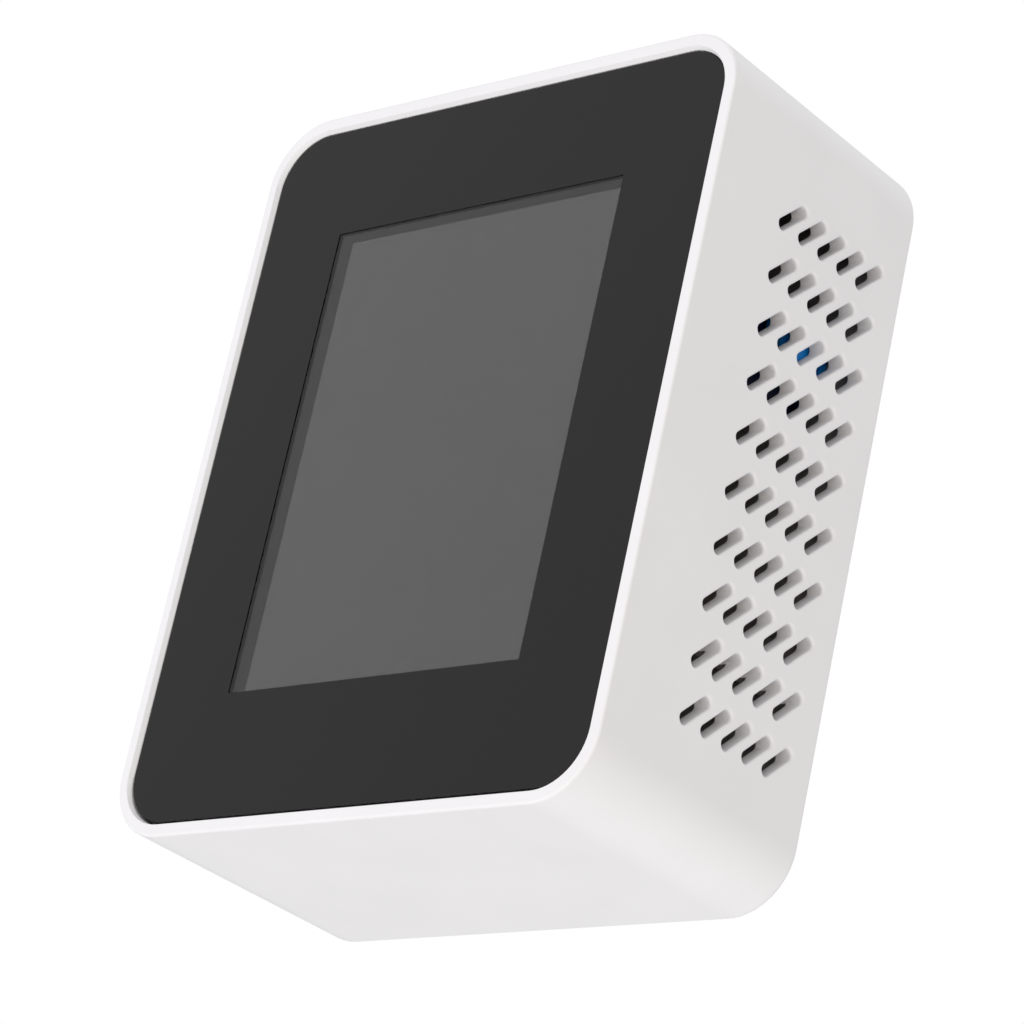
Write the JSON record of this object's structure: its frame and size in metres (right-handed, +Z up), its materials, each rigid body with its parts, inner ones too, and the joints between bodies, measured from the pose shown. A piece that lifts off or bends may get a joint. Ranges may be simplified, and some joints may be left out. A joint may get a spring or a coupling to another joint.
{
  "type": "air quality monitor",
  "caption": "Palm-sized box-shaped desktop air quality monitor with a portrait display behind a black glossy front, slotted side vents, a top button and a rear charging port.",
  "frame": {"origin": "centre of the flat bottom face, on the desk, midway between front and back and between the side walls", "axes": "+Z up, the display faces -Y, +X to the right as seen from the front"},
  "size_m": [0.0714, 0.0348, 0.0925],
  "materials": {
    "white_plastic": "fine-grained satin white ABS",
    "button_plastic": "satin white ABS",
    "black_print": "glossy black screen print under a hard coat",
    "clear_acrylic": "polished clear acrylic",
    "black_plastic": "matt black moulded plastic",
    "black_foam": "matt black foam",
    "display_face": "unlit neutral grey display, soft sheen",
    "display_glass": "darker grey display border",
    "tray_plastic": "white moulded light guide tray",
    "amber_film": "amber polyimide film",
    "ivory_nylon": "ivory nylon",
    "green_board": "green solder mask",
    "blue_board": "blue solder mask",
    "blue_plastic": "blue moulded plastic",
    "chip_epoxy": "black moulding compound",
    "tinned_steel": "bright tinned or nickel-plated steel",
    "gold_plate": "gold-plated",
    "brass": "turned brass",
    "black_steel": "black oxide steel",
    "pouch_film": "aluminised pouch film",
    "red_cable": "red insulated lead",
    "grey_cable": "grey ribbon cable"
  },
  "bodies": {
    "monitor": {"housing": "white_plastic", "housing_screw_1": "black_steel", "housing_screw_2": "black_steel", "housing_screw_3": "black_steel", "housing_screw_4": "black_steel", "front_lens": "clear_acrylic", "lens_mask": "black_print", "front_frame": "black_plastic", "display_gasket": "black_foam", "lcd_polarizer": "display_face", "lcd_glass": "display_glass", "backlight_tray": "tray_plastic", "display_flex": "amber_film", "display_connector": "ivory_nylon", "main_board": "green_board", "board_screw_1": "tinned_steel", "board_screw_2": "tinned_steel", "board_screw_3": "tinned_steel", "board_screw_4": "tinned_steel", "microcontroller": "chip_epoxy", "wireless_module": "tinned_steel", "buzzer": "black_plastic", "gas_sensor": "tinned_steel", "power_switch": "black_plastic", "co2_sensor_board": "green_board", "co2_sensor_chamber": "gold_plate", "climate_board": "blue_board", "climate_sensor": "blue_plastic", "pm_sensor_pad": "black_foam", "pm_sensor_case": "black_plastic", "pm_sensor_cover": "tinned_steel", "pm_laser_diode": "brass", "pm_sensor_cable": "grey_cable", "battery": "pouch_film", "battery_lead": "red_cable", "battery_connector": "ivory_nylon", "power_board": "green_board", "power_board_screw_1": "tinned_steel", "power_board_screw_2": "tinned_steel", "usb_c_shell": "tinned_steel", "usb_c_tongue": "black_plastic", "power_ribbon": "grey_cable"},
    "power_button": {"power_button": "button_plastic", "power_switch_plunger": "ivory_nylon"},
    "pm_fan": {"pm_fan_rotor": "black_plastic"}
  },
  "joints": [
    {"name": "power_button_press", "type": "slide", "parent": "monitor", "child": "power_button", "axis": [0, 0, -1], "range_m": [0, 0.0005], "stiffness_N_per_m": 500, "springref_m": -0.0008},
    {"name": "pm_fan_spin", "type": "hinge", "parent": "monitor", "child": "pm_fan", "pos_m": [-0.0195, 0.0005, 0.0675], "axis": [0, 1, 0], "continuous": true}
  ]
}
